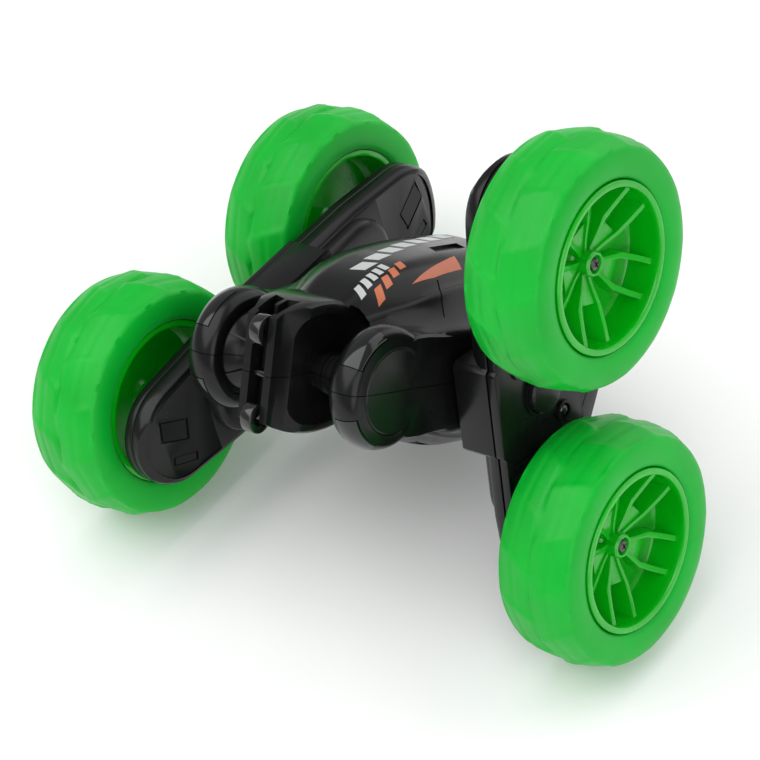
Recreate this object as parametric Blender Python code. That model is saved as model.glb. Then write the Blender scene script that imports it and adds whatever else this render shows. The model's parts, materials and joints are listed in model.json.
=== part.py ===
"""Double-sided stunt car with two swinging wheel arms, standing on three of its wheels.

Car frame (millimetres): X across the car, Y along the left arm, Z up from it, and the
origin where the axis of both arm pivots crosses the middle of the body.
Arm frame: s outwards from the body along X, a along the arm, b across it.
"""
from math import acos, atan2, cos, hypot, pi, radians, sin

import bmesh
import bpy
from mathutils import Matrix, Vector

MM = 0.001
GAP = 0.35                      # clearance between separate pieces

# Wheels
TYRE_RADIUS = 40.0
TYRE_WIDTH = 28.0
BORE_RADIUS = 26.8              # where the tyre sits on the rim
TREAD_HALF_WIDTH = 13.2
SHOULDER_DROP = 2.6             # how much lower the tread is at its edges
TREAD_SQUARENESS = 2.6          # exponent of the tread's curve
WHEELBASE = 98.8
TRACK = 146.8
HUB_FACE = 79.4                 # outer face of the hub, from the car's middle
AXLE_RADIUS = 1.5
HUB_RADIUS = 3.6
HUB_BACK = -8.0                 # from the wheel's middle plane
WEB_THICKNESS = 2.2
RIM_WALL = 2.0

# Pose: the body is pitched, the right arm stands nearly upright
BODY_PITCH = -31.5
RIGHT_ARM_ANGLE = 78.9

# Arm casing
ARM_INNER = 45.0
ARM_SEAM = 50.8
ARM_OUTER = 54.5
ARM_HALF_HEIGHT = 20.3
ARM_TAPER_START = 38.0
ARM_END_CENTRE = 61.0
ARM_END_RADIUS = 15.2
PLATEAU_INNER = 38.2
PLATEAU_HALF_LENGTH = 37.0
PLATEAU_HALF_HEIGHT = 17.0
MOTOR_BOX_HALF_LENGTH = 16.0
BULGE_HALF_LENGTH = 30.0
BULGE_TOP_HALF_LENGTH = 14.0
BULGE_DEPTH = 28.5
WALL = 1.5
PIVOT_CAP_RADIUS = 7.4
PIVOT_CAP_FACE = 57.6

# Arm pivot: a drum on each arm turns in the body and holds the motor
DRUM_RADIUS = 13.0
DRUM_BORE = 10.9
DRUM_END = 20.0
DRUM_FLANGE_RADIUS = 15.0
DRUM_FLANGE = (22.3, 24.3)
BEARING_RADIUS = 17.0
BEARING_INNER = 24.7

# Gear train: pinion, double gear, idler and wheel gear, along each half of the arm
PINION_TEETH = 7
DOUBLE_LARGE_TEETH = 22
DOUBLE_SMALL_TEETH = 8
IDLER_TEETH = 10
WHEEL_GEAR_TEETH = 19
TRAIN_TEETH = (PINION_TEETH + DOUBLE_LARGE_TEETH + DOUBLE_SMALL_TEETH
               + 2 * IDLER_TEETH + WHEEL_GEAR_TEETH)
MODULE = WHEELBASE / TRAIN_TEETH
INNER_GEARS = (47.3, 49.4)      # from, to along s
OUTER_GEARS = (49.9, 52.4)
GEAR_BORE = 1.2

# Motor
MOTOR_RADIUS = 10.2
MOTOR_HALF_FLAT = 7.7
MOTOR_BACK = 21.6
MOTOR_FRONT = 45.9

# Body: stations of the hull (Y, half-width, shoulder, ridge half-width, ridge, crest, belly)
BELLY = 28.8                    # depth of the flat part of the belly
HULL_STATIONS = (
    (-38.0, 20.0, 12.0, 16.0, 17.5, 26.0, 15.5),
    (-28.0, 32.0, 13.5, 22.0, 22.5, 30.0, 19.0),
    (-16.0, 35.6, 15.0, 24.5, 26.0, 33.0, 24.5),
    (2.0, 35.6, 15.0, 25.0, 27.5, 34.8, BELLY),
    (26.0, 35.6, 15.0, 25.0, 27.5, 34.8, BELLY),
    (44.0, 31.0, 13.5, 22.0, 23.5, 30.0, 26.5),
    (58.0, 25.0, 11.0, 18.0, 17.0, 22.0, 19.5),
    (64.0, 22.0, 8.0, 15.0, 11.5, 14.5, 13.0),
)
CREST_HALF_WIDTH = 8.0
NOSE_STATIONS = (               # Y, half-width, height
    (-72.0, 5.8, 13.8),
    (-71.0, 6.1, 15.6),
    (-66.5, 6.8, 18.6),
    (-60.0, 8.2, 21.6),
    (-50.0, 9.8, 24.0),
    (-34.0, 12.0, 27.2),
)
SLOT_HALF_WIDTH = 2.9           # gap between the two nose bars
SLOT_BACK = -63.0
POD_Y = -48.0
POD_PROFILE = (                 # distance from the middle, radius
    (8.0, 6.0), (13.0, 6.4), (17.0, 8.0), (22.8, 12.6), (23.2, 14.4), (24.2, 17.4), (25.8, 18.9),
    (28.6, 19.5), (31.2, 18.9), (33.2, 17.2), (34.6, 14.8), (35.0, 13.4),
)
POD_FACE_START = 23.2
LAMP_SPAN = (26.0, 70.0)        # degrees above and below the pod's front
BOWL_RADIUS = 23.5
BOWL_INNER = 10.5
FAIRING_START = 24.0
SIDE_FACE = 35.6
SHELL_WALL = 1.7
BATTERY_DOOR = (13.0, 9.0, 37.0)        # half-width, from Y, to Y
SWITCH_PLACE = (14.0, -6.0)             # X, Y on the underside
SWITCH_TRAVEL = 3.0

SEGMENTS = 32


# ---------------------------------------------------------------- mesh tools

def clear_scene():
    for obj in list(bpy.data.objects):
        bpy.data.objects.remove(obj, do_unlink=True)


def material(name, colour, roughness, metallic=0.0):
    mat = bpy.data.materials.get(name) or bpy.data.materials.new(name)
    mat.use_nodes = True
    shader = mat.node_tree.nodes["Principled BSDF"]
    shader.inputs["Base Color"].default_value = (*colour, 1.0)
    shader.inputs["Roughness"].default_value = roughness
    shader.inputs["Metallic"].default_value = metallic
    return mat


def make_object(name, mesh_builder):
    """A linked object from a bmesh in millimetres; its faces are flat and turned outwards."""
    bmesh.ops.recalc_face_normals(mesh_builder, faces=mesh_builder.faces)
    bmesh.ops.triangulate(mesh_builder, faces=mesh_builder.faces)
    bmesh.ops.scale(mesh_builder, vec=(MM, MM, MM), verts=mesh_builder.verts)
    mesh = bpy.data.meshes.new(name)
    mesh_builder.to_mesh(mesh)
    mesh_builder.free()
    obj = bpy.data.objects.new(name, mesh)
    bpy.context.scene.collection.objects.link(obj)
    return obj


def lathe(name, profile, centre=(0.0, 0.0), side=1, segments=SEGMENTS, closed=False):
    """Turn (x, radius) points about a line along X; an open profile gets flat ends."""
    bm = bmesh.new()
    rings = []
    for x, radius in profile:
        ring = []
        for step in range(segments):
            turn = 2 * pi * step / segments
            place = (side * x, centre[0] + radius * cos(turn), centre[1] + radius * sin(turn))
            ring.append(bm.verts.new(place))
        rings.append(ring)
    pairs = list(zip(rings, rings[1:]))
    if closed:
        pairs.append((rings[-1], rings[0]))
    for first, second in pairs:
        for step in range(segments):
            after = (step + 1) % segments
            bm.faces.new((first[step], first[after], second[after], second[step]))
    if not closed:
        bm.faces.new(rings[0])
        bm.faces.new(rings[-1])
    return make_object(name, bm)


def tube_profile(inner, outer, start, end):
    return ((start, inner), (start, outer), (end, outer), (end, inner))


def prism(name, outline, start, end, side=1):
    """Extrude an outline of (y, z) points along X from start to end."""
    bm = bmesh.new()
    near = [bm.verts.new((side * start, y, z)) for y, z in outline]
    far = [bm.verts.new((side * end, y, z)) for y, z in outline]
    bm.faces.new(near)
    bm.faces.new(far)
    for index in range(len(outline)):
        after = (index + 1) % len(outline)
        bm.faces.new((near[index], near[after], far[after], far[index]))
    return make_object(name, bm)


def block(name, low, high):
    outline = ((low[1], low[2]), (high[1], low[2]), (high[1], high[2]), (low[1], high[2]))
    return prism(name, outline, low[0], high[0])


def loft(name, sections):
    """Join closed sections, each a list of (x, y, z) with the same number of points."""
    bm = bmesh.new()
    rings = [[bm.verts.new(point) for point in section] for section in sections]
    for first, second in zip(rings, rings[1:]):
        for index in range(len(first)):
            after = (index + 1) % len(first)
            bm.faces.new((first[index], first[after], second[after], second[index]))
    bm.faces.new(rings[0])
    bm.faces.new(rings[-1])
    return make_object(name, bm)


def combine(target, tool, operation):
    """Boolean the tool into the target and remove the tool.

    The exact solver leaves open edges where the shells' curved faces nearly coincide,
    so the closed pieces here go through the manifold solver.
    """
    modifier = target.modifiers.new("combine", "BOOLEAN")
    modifier.operation = operation
    modifier.solver = "MANIFOLD"
    modifier.object = tool
    bpy.context.view_layer.update()
    evaluated = target.evaluated_get(bpy.context.evaluated_depsgraph_get())
    mesh = bpy.data.meshes.new_from_object(evaluated)
    target.modifiers.remove(modifier)
    target.data = mesh
    bpy.data.objects.remove(tool, do_unlink=True)
    return target


def join(target, tool):
    return combine(target, tool, "UNION")


def cut(target, tool):
    return combine(target, tool, "DIFFERENCE")


def keep(target, tool):
    return combine(target, tool, "INTERSECT")


def copy_of(obj, name):
    twin = bpy.data.objects.new(name, obj.data.copy())
    bpy.context.scene.collection.objects.link(twin)
    return twin


def tidy(obj, angle=32.0):
    """Merge leftovers of the booleans and shade the round faces smooth."""
    bm = bmesh.new()
    bm.from_mesh(obj.data)
    bmesh.ops.remove_doubles(bm, verts=bm.verts, dist=0.00002)
    bmesh.ops.dissolve_degenerate(bm, edges=bm.edges, dist=0.00002)
    bmesh.ops.dissolve_limit(bm, angle_limit=radians(0.4), verts=bm.verts, edges=bm.edges)
    bmesh.ops.triangulate(bm, faces=bm.faces)
    bm.to_mesh(obj.data)
    bm.free()
    obj.data.shade_smooth()
    obj.data.set_sharp_from_angle(angle=radians(angle))
    return obj


def finish(obj, mat, parent, place=(0.0, 0.0, 0.0)):
    """Give a piece its material and stand it in its parent's frame (place in millimetres)."""
    tidy(obj)
    obj.data.materials.clear()
    obj.data.materials.append(mat)
    obj.parent = parent
    obj.location = Vector(place) * MM
    return obj


def empty(name, parent=None, place=(0.0, 0.0, 0.0), turn_axis="X", turn=0.0):
    obj = bpy.data.objects.new(name, None)
    bpy.context.scene.collection.objects.link(obj)
    obj.parent = parent
    obj.location = Vector(place) * MM
    obj.rotation_euler = Matrix.Rotation(turn, 3, turn_axis).to_euler()
    return obj


# ---------------------------------------------------------------- tyre shape and stance

def tread_radius(across):
    """Radius of the tread at a distance from its middle."""
    share = abs(across) / TREAD_HALF_WIDTH
    return TYRE_RADIUS - SHOULDER_DROP * share ** TREAD_SQUARENESS


def tyre_outline():
    """(x, radius) points over the tyre from one bead to the other."""
    half = TYRE_WIDTH / 2
    wall = [(half - 1.0, BORE_RADIUS + 1.0), (half - 0.1, 31.0), (half, 35.0)]
    tread = [(across, tread_radius(across)) for across in (-13.2, -9.0, -3.5, 3.5, 9.0, 13.2)]
    return [(-x, radius) for x, radius in wall] + tread + wall[::-1]


def tyre_reach(roll):
    """How far the tyre reaches from its centre towards a direction rolled from its plane."""
    return max(radius * cos(roll) + abs(x) * sin(roll) for x, radius in tyre_outline())


ARM_DROP = WHEELBASE / 2 * sin(radians(RIGHT_ARM_ANGLE))
ROLL = atan2(ARM_DROP, TRACK)
STANCE_HEIGHT = TRACK / 2 * sin(ROLL) + tyre_reach(ROLL)
STANCE_SHIFT = -ARM_DROP * sin(ROLL) / 2


# ---------------------------------------------------------------- wheels

def build_tyre(name):
    bead = BORE_RADIUS + 0.3
    half = TYRE_WIDTH / 2
    profile = tyre_outline() + [(half - 2.0, bead), (2.0 - half, bead)]
    return lathe(name, profile, closed=True)


def build_rim(name, side):
    """Deep-dished rim turned in one piece: barrel, closed web and hub."""
    half = TYRE_WIDTH / 2
    inner = BORE_RADIUS - RIM_WALL
    hub_face = HUB_FACE - TRACK / 2
    bore_radius = AXLE_RADIUS + GAP
    profile = (
        (1.5 - half, inner), (1.5 - half, BORE_RADIUS), (half - 0.6, BORE_RADIUS), (half - 0.6, inner),
        (WEB_THICKNESS, inner), (WEB_THICKNESS, HUB_RADIUS), (hub_face, HUB_RADIUS), (hub_face, bore_radius),
        (HUB_BACK, bore_radius), (HUB_BACK, HUB_RADIUS), (0.0, HUB_RADIUS), (0.0, inner),
    )
    return lathe(name, profile, side=side, segments=24, closed=True)


def build_axle(name, side, wheel_s):
    start = 46.8 - wheel_s
    end = HUB_FACE - 1.0 - wheel_s
    return lathe(name, ((start, AXLE_RADIUS), (end, AXLE_RADIUS)), side=side, segments=16)


def build_hub_screw(name, side, wheel_s):
    """Screw with a dished head on the hub's face."""
    base = HUB_FACE + GAP - wheel_s
    profile = ((base, 2.6), (base + 0.7, 2.6), (base + 1.3, 1.7))
    return lathe(name, profile, side=side, segments=14)


# ---------------------------------------------------------------- gears

def gear_outline(teeth, phase):
    """Trapezoid teeth with a little backlash; phase is in tooth pitches."""
    pitch_radius = MODULE * teeth / 2
    tip = pitch_radius + 0.85 * MODULE
    root = pitch_radius - 1.1 * MODULE
    pitch = 2 * pi / teeth
    outline = []
    for tooth in range(teeth):
        middle = pitch * (tooth + phase)
        root_share = 0.31
        tip_share = 0.12 if teeth > 12 else 0.09
        for radius, share in ((root, -root_share), (tip, -tip_share), (tip, tip_share), (root, root_share)):
            turn = middle + share * pitch
            outline.append((radius * cos(turn), radius * sin(turn)))
    return outline


def bore(gear, radius, span, side):
    start, end = span
    return cut(gear, lathe("bore", ((start - 1.0, radius), (end + 1.0, radius)), side=side, segments=16))


def build_gear(name, teeth, phase, span, side, bore_radius=GEAR_BORE):
    return bore(prism(name, gear_outline(teeth, phase), *span, side), bore_radius, span, side)


def build_double_gear(name, large_phase, small_phase, side):
    """Large and small gear in one moulding, joined by a short collar."""
    gear = prism(name, gear_outline(DOUBLE_LARGE_TEETH, large_phase), *INNER_GEARS, side)
    small_span = (INNER_GEARS[1] - 0.5, OUTER_GEARS[1])
    join(gear, prism("small", gear_outline(DOUBLE_SMALL_TEETH, small_phase), *small_span, side))
    return bore(gear, GEAR_BORE, (INNER_GEARS[0], OUTER_GEARS[1]), side)


def half_train():
    """Distances along the arm of the double gear, the idler and the wheel gear."""
    double = MODULE * (PINION_TEETH + DOUBLE_LARGE_TEETH) / 2
    idler = double + MODULE * (DOUBLE_SMALL_TEETH + IDLER_TEETH) / 2
    wheel = idler + MODULE * (IDLER_TEETH + WHEEL_GEAR_TEETH) / 2
    return double, idler, wheel


# ---------------------------------------------------------------- arms

def arm_outline(inset=0.0, arc_steps=8):
    """Long rounded outline: parallel edges, a taper, then a round end."""
    height = ARM_HALF_HEIGHT - inset
    start = ARM_TAPER_START
    radius = ARM_END_RADIUS - inset
    reach = hypot(ARM_END_CENTRE - start, height)
    tangent = pi - atan2(height, ARM_END_CENTRE - start) - acos(radius / reach)
    end = []
    for step in range(arc_steps + 1):
        turn = tangent - 2 * tangent * step / arc_steps
        end.append((ARM_END_CENTRE + radius * cos(turn), radius * sin(turn)))
    half = [(start, height)] + end + [(start, -height)]
    return half + [(-a, -b) for a, b in half]


def bulge_outline(inset=0.0):
    """The motor housing's outline, with a bulge across the -b edge."""
    height = ARM_HALF_HEIGHT - inset
    depth = BULGE_DEPTH - inset
    wide = BULGE_HALF_LENGTH - inset
    top = BULGE_TOP_HALF_LENGTH - inset * 0.6
    right = [(wide, 0.0), (wide, -height + 2.0), (top, -depth)]
    return right + [(-a, b) for a, b in reversed(right)]


def rectangle(half_length, low, high, corner=3.0):
    return [
        (half_length - corner, low), (half_length, low + corner),
        (half_length, high - corner), (half_length - corner, high),
        (corner - half_length, high), (-half_length, high - corner),
        (-half_length, low + corner), (corner - half_length, low),
    ]


def build_inner_cover(name, side):
    """Body-side half of the arm casing, with the pivot drum that runs in the body."""
    cover = prism(name, arm_outline(), ARM_INNER, ARM_SEAM, side)
    join(cover, prism("bulge", bulge_outline(), ARM_INNER, ARM_SEAM, side))
    plateau = rectangle(PLATEAU_HALF_LENGTH, -PLATEAU_HALF_HEIGHT, PLATEAU_HALF_HEIGHT, 6.0)
    join(cover, prism("plateau", plateau, PLATEAU_INNER + 3.0, ARM_INNER + 1.0, side))
    motor_box = rectangle(MOTOR_BOX_HALF_LENGTH, -BULGE_DEPTH + 2.5, ARM_HALF_HEIGHT - 0.1, 3.0)
    join(cover, prism("motor_box", motor_box, PLATEAU_INNER, ARM_INNER + 1.0, side))
    join(cover, lathe("drum", ((DRUM_END, DRUM_RADIUS), (ARM_INNER, DRUM_RADIUS)), side=side))
    join(cover, lathe("flange", ((DRUM_FLANGE[0], DRUM_FLANGE_RADIUS), (DRUM_FLANGE[1], DRUM_FLANGE_RADIUS)),
                      side=side))
    cut(cover, prism("hollow", arm_outline(WALL), ARM_INNER + WALL, ARM_SEAM + 1.0, side))
    cut(cover, prism("bulge_hollow", bulge_outline(WALL), ARM_INNER + WALL, ARM_SEAM + 1.0, side))
    cut(cover, lathe("drum_hollow", ((DRUM_END - 1.0, DRUM_BORE), (ARM_SEAM, DRUM_BORE)), side=side))
    return cover


def build_outer_cover(name, side):
    """Wheel-side half of the arm casing, with the pivot cap."""
    start = ARM_SEAM + GAP
    cover = prism(name, arm_outline(), start, ARM_OUTER, side)
    join(cover, prism("bulge", bulge_outline(), start, ARM_OUTER, side))
    cap = ((ARM_OUTER - 0.5, PIVOT_CAP_RADIUS), (PIVOT_CAP_FACE - 0.8, PIVOT_CAP_RADIUS),
           (PIVOT_CAP_FACE, PIVOT_CAP_RADIUS - 0.9))
    join(cover, lathe("cap", cap, side=side))
    hollow_end = ARM_OUTER - WALL
    cut(cover, prism("hollow", arm_outline(WALL), start - 1.0, hollow_end, side))
    cut(cover, prism("bulge_hollow", bulge_outline(WALL), start - 1.0, hollow_end, side))
    for end in (1, -1):
        centre = (end * WHEELBASE / 2, 0.0)
        hole = ((start - 1.0, AXLE_RADIUS + GAP), (ARM_OUTER + 1.0, AXLE_RADIUS + GAP))
        cut(cover, lathe("axle_hole", hole, centre=centre, side=side, segments=20))
    return cover


def build_motor(name, side):
    """Can motor with two flats, its nose and its shaft."""
    can = lathe(name, ((MOTOR_BACK, MOTOR_RADIUS - 0.6), (MOTOR_BACK + 0.6, MOTOR_RADIUS),
                       (MOTOR_FRONT - 0.6, MOTOR_RADIUS), (MOTOR_FRONT, MOTOR_RADIUS - 0.6)), side=side)
    outline = ((-12.0, -MOTOR_HALF_FLAT), (12.0, -MOTOR_HALF_FLAT), (12.0, MOTOR_HALF_FLAT),
               (-12.0, MOTOR_HALF_FLAT))
    keep(can, prism("flats", outline, MOTOR_BACK - 1.0, MOTOR_FRONT + 1.0, side))
    join(can, lathe("nose", ((MOTOR_FRONT - 0.5, 3.0), (MOTOR_FRONT + 1.0, 3.0)), side=side, segments=16))
    join(can, lathe("shaft", ((MOTOR_FRONT, 1.0), (INNER_GEARS[1] + 0.6, 1.0)), side=side, segments=12))
    return can


def build_contact_disc(name, side):
    """Round contact board on the inner end of the pivot drum."""
    end = DRUM_END - GAP
    return lathe(name, ((end - 1.2, DRUM_RADIUS - 1.0), (end, DRUM_RADIUS - 1.0)), side=side, segments=20)


def build_cover_screw(name, side, a, b):
    face = ARM_OUTER + GAP
    profile = ((face, 2.3), (face + 0.5, 2.3), (face + 1.1, 1.4))
    return lathe(name, profile, centre=(a, b), side=side, segments=12)


def build_arm(side, label, pivot, paint):
    """One arm with its casing, motor, gear train and two wheels."""
    finish(build_inner_cover(f"{label}_arm_inner_cover", side), paint["casing"], pivot)
    finish(build_outer_cover(f"{label}_arm_outer_cover", side), paint["casing"], pivot)
    finish(build_motor(f"{label}_motor", side), paint["motor"], pivot)
    finish(build_contact_disc(f"{label}_contact_disc", side), paint["board"], pivot)
    for number, (a, b) in enumerate(((-12.0, -9.5), (12.0, 9.5)), start=1):
        finish(build_cover_screw(f"{label}_cover_screw_{number}", side, a, b), paint["screw"], pivot)
    pinion = build_gear(f"{label}_motor_pinion", PINION_TEETH, 0.0, INNER_GEARS, side, 1.0 + GAP)
    finish(pinion, paint["brass"], pivot)
    double_a, idler_a, wheel_a = half_train()
    for end, place in ((1, "far"), (-1, "near")):
        # A tooth of the pinion points to +a, and its odd count puts a gap towards -a.
        large_phase = 0.5 if end > 0 else 0.0
        double = build_double_gear(f"{label}_{place}_double_gear", large_phase, 0.0, side)
        finish(double, paint["gear"], pivot, (0.0, end * double_a, 0.0))
        # The small gear turns a tooth towards the idler, which meets it with a gap.
        idler = build_gear(f"{label}_{place}_idler_gear", IDLER_TEETH, 0.5, OUTER_GEARS, side)
        finish(idler, paint["gear"], pivot, (0.0, end * idler_a, 0.0))
        # The idler turns a gap outwards, so the wheel gear turns a tooth inwards.
        wheel_phase = 0.5 if end > 0 else 0.0
        wheel_gear = build_gear(f"{label}_{place}_wheel_gear", WHEEL_GEAR_TEETH, wheel_phase,
                                OUTER_GEARS, side, AXLE_RADIUS + GAP)
        finish(wheel_gear, paint["gear"], pivot, (0.0, end * wheel_a, 0.0))
        build_wheel(side, f"{label}_{place}", end * wheel_a, pivot, paint)


def build_wheel(side, label, a, pivot, paint):
    wheel_s = TRACK / 2
    place = (side * wheel_s, a, 0.0)
    finish(build_tyre(f"{label}_tyre"), paint["tyre"], pivot, place)
    finish(build_rim(f"{label}_rim", side), paint["rim"], pivot, place)
    finish(build_axle(f"{label}_axle", side, wheel_s), paint["steel"], pivot, place)
    finish(build_hub_screw(f"{label}_hub_screw", side, wheel_s), paint["screw"], pivot, place)


# ---------------------------------------------------------------- body

def hull_section(station, inset=0.0):
    """Eighteen-sided section: flat sides, shoulders, ridges, and flat crest and belly."""
    y, half, shoulder, ridge_x, ridge_z, crest, belly = station
    scale = belly / crest
    half -= inset
    ridge_x -= inset * 0.8
    ridge_z -= inset * 0.8
    crest -= inset
    shoulder -= inset * 0.4
    flat = CREST_HALF_WIDTH * min(1.0, crest / 30.0)
    mid_x = (ridge_x + flat) / 2 + 0.8
    mid_z = ridge_z + (crest - ridge_z) * 0.68
    right = [(half, 0.0), (half, shoulder), (half - 3.0, shoulder + 2.2), (ridge_x, ridge_z), (mid_x, mid_z),
             (flat, crest)]
    top = right + [(-x, z) for x, z in reversed(right)]
    low_mid = ridge_z * scale + (crest - ridge_z) * scale * 0.68
    lower = [(half, shoulder), (half - 3.0, shoulder + 2.0), (ridge_x, max(shoulder + 3.0, ridge_z * scale)),
             (mid_x, max(shoulder + 4.0, low_mid)), (flat, crest * scale)]
    bottom = [(-x, -z) for x, z in lower] + [(x, -z) for x, z in reversed(lower)]
    return [(x, y, z) for x, z in top + bottom]


def build_hull(name, inset=0.0):
    """Loft of the hull; an inset shrinks it all round for the hollow."""
    stations = list(HULL_STATIONS)
    if inset:
        first, last = stations[0], stations[-1]
        stations[0] = (first[0] + inset, *first[1:])
        stations[-1] = (last[0] - inset, *last[1:])
    return loft(name, [hull_section(station, inset) for station in stations])


def nose_section(y, half, height):
    low = height * 0.78
    corners = ((half, 0.0), (half, height - 2.0), (half - 1.8, height), (1.8 - half, height),
               (-half, height - 2.0), (-half, 0.0), (-half, 2.0 - low), (1.8 - half, -low),
               (half - 1.8, -low), (half, 2.0 - low))
    return [(x, y, z) for x, z in corners]


def bowl_cutter(side):
    """Ring-shaped space between the nose and a pod, around the pod's neck."""
    profile = ((BOWL_INNER - 1.0, 5.0), (BOWL_INNER, BOWL_RADIUS), (POD_FACE_START + 1.2, BOWL_RADIUS),
               (POD_FACE_START + 1.2, 5.0))
    return lathe("bowl", profile, centre=(POD_Y, 0.0), side=side, segments=28, closed=True)


def build_outer_body(name):
    body = build_hull(name)
    join(body, loft("nose", [nose_section(*station) for station in NOSE_STATIONS]))
    fairing = [(-48.0, -13.0), (-44.0, -14.0), (-22.0, -14.6), (-22.0, 14.6), (-44.0, 14.0), (-48.0, 13.0)]
    for side in (1, -1):
        join(body, prism("fairing", fairing, FAIRING_START, SIDE_FACE, side))
    for side in (1, -1):
        cut(body, bowl_cutter(side))
    spool = [(-x, radius) for x, radius in reversed(POD_PROFILE)] + list(POD_PROFILE)
    join(body, lathe("pods", spool, centre=(POD_Y, 0.0), segments=28))
    cut(body, block("slot", (-SLOT_HALF_WIDTH, -80.0, -30.0), (SLOT_HALF_WIDTH, SLOT_BACK, 30.0)))
    return body


def build_cavity(name):
    """Hollow of the body without the two pivot bearings."""
    cavity = build_hull(name, SHELL_WALL)
    for side in (1, -1):
        bearing = ((BEARING_INNER, BEARING_RADIUS), (40.0, BEARING_RADIUS))
        cut(cavity, lathe("bearing", bearing, side=side, segments=20))
    for side in (1, -1):
        room = ((25.4, 10.0), (33.4, 10.0))
        join(cavity, lathe("lamp_room", room, centre=(POD_Y, 0.0), side=side, segments=16))
    return cavity


def lamp_sector(name, side, upper, grow=0.0):
    """Curved lamp window on the front of a pod."""
    base = 16.4 - grow
    outer = 5.0 * grow / GAP    # a pocket opens well past the pod's surface
    first, last = LAMP_SPAN
    first -= grow * 2.5
    last += grow * 2.5
    bm = bmesh.new()
    rings = []
    steps = 7
    for step in range(steps + 1):
        turn = radians(180.0 - (first + (last - first) * step / steps))
        ring = []
        section = ((26.2 - grow, base), (33.0 + grow, base - 1.4), (33.0 + grow, 17.3 + outer),
                   (30.0, 19.1 + outer), (26.2 - grow, 19.0 + outer))
        for x, radius in section:
            lift = sin(turn) * radius if upper else -sin(turn) * radius
            ring.append(bm.verts.new((side * x, POD_Y + radius * cos(turn), lift)))
        rings.append(ring)
    for one, two in zip(rings, rings[1:]):
        for index in range(len(section)):
            after = (index + 1) % len(section)
            bm.faces.new((one[index], one[after], two[after], two[index]))
    bm.faces.new(rings[0])
    bm.faces.new(rings[-1])
    return make_object(name, bm)


def door_block(name, grow=0.0):
    half, start, end = BATTERY_DOOR
    return block(name, (-half - grow, start - grow, -40.0), (half + grow, end + grow, -20.0))


def build_battery_door(name, outer):
    """Lid cut from the belly's own skin, so that it lies flush."""
    door = keep(copy_of(outer, name), door_block("door_cut"))
    cut(door, build_hull("door_hollow", SHELL_WALL))
    return door


def build_shells(paint, pitch):
    outer = build_outer_body("outer")
    door = build_battery_door("battery_door", outer)
    for side in (1, -1):
        bearing_bore = ((15.0, DRUM_RADIUS + GAP), (45.0, DRUM_RADIUS + GAP))
        cut(outer, lathe("bearing_bore", bearing_bore, side=side))
        for upper in (True, False):
            cut(outer, lamp_sector("pocket", side, upper, GAP))
    cut(outer, build_cavity("cavity"))
    upper = copy_of(outer, "upper_shell")
    keep(upper, block("above", (-60.0, -90.0, GAP / 2), (60.0, 90.0, 60.0)))
    lower = copy_of(outer, "lower_shell")
    keep(lower, block("below", (-60.0, -90.0, -60.0), (60.0, 90.0, -GAP / 2)))
    bpy.data.objects.remove(outer, do_unlink=True)
    cut(lower, door_block("door_hole", GAP))
    x, y = SWITCH_PLACE
    cut(lower, block("switch_hole", (x - 1.9, y - 3.6, -45.0), (x + 1.9, y + 3.6, -10.0)))
    finish(upper, paint["casing"], pitch)
    finish(lower, paint["casing"], pitch)
    finish(door, paint["casing"], pitch)


def hook_outline(upper, steps=9):
    """Side view of a nose hook: an upright strip that curls forwards at its end."""
    centre_y, centre_z = -70.4, 13.6
    outer, inner = 5.0, 2.3
    points = []
    for step in range(steps + 1):
        turn = radians(35.0 + 215.0 * step / steps)
        points.append((centre_y + outer * cos(turn), centre_z + outer * sin(turn)))
    for step in range(steps + 1):
        turn = radians(250.0 - 215.0 * step / steps)
        points.append((centre_y + inner * cos(turn), centre_z + inner * sin(turn)))
    sign = 1 if upper else -1
    return [(y, sign * z) for y, z in points]


def build_nose_bracket(name):
    """Bracket in the slot between the nose bars, with a curled hook at each end."""
    half = SLOT_HALF_WIDTH - GAP
    strip = [(-67.4, -17.0), (-64.0, -17.0), (-64.0, 17.0), (-67.4, 17.0)]
    bracket = prism(name, strip, -half, half)
    for upper in (True, False):
        join(bracket, prism("hook", hook_outline(upper), -half * 0.7, half * 0.7))
    return bracket


def build_circuit_board(name):
    """Board with its largest parts moulded in one block."""
    board = block(name, (-15.0, -24.0, 16.0), (15.0, 12.0, 17.4))
    join(board, block("chip", (-5.0, -10.0, 17.0), (4.0, -3.0, 19.0)))
    join(board, block("capacitor", (7.0, 0.0, 17.0), (12.0, 5.0, 22.0)))
    return board


def build_battery(name):
    half, start, end = BATTERY_DOOR
    return block(name, (2.0 - half, start + 1.2, -23.0), (half - 2.0, end - 1.2, -13.5))


def build_door_screw(name):
    """Low screw head on the flat of the battery door, turned to point down."""
    screw = lathe(name, ((0.0, 2.4), (0.5, 2.4), (1.0, 1.6)), segments=14)
    screw.data.transform(Matrix.Rotation(pi / 2, 4, "Y"))
    place = (0.0, BATTERY_DOOR[1] + 4.0, -BELLY - GAP)
    screw.data.transform(Matrix.Translation(Vector(place) * MM))
    return screw


def build_switch(name):
    x, y = SWITCH_PLACE
    low = y - SWITCH_TRAVEL / 2 - 1.6
    knob = block(name, (x - 1.5, low, -25.6), (x + 1.5, low + 3.2, -19.0))
    join(knob, block("slider", (x - 3.2, low - 1.0, -20.6), (x + 3.2, low + 4.2, -19.0)))
    return knob


def build_led(name, side):
    """Lamp body inside the pod."""
    x = side * 29.5
    return block(name, (x - 2.2, POD_Y - 7.5, -2.2), (x + 2.2, POD_Y - 0.5, 2.2))


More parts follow.
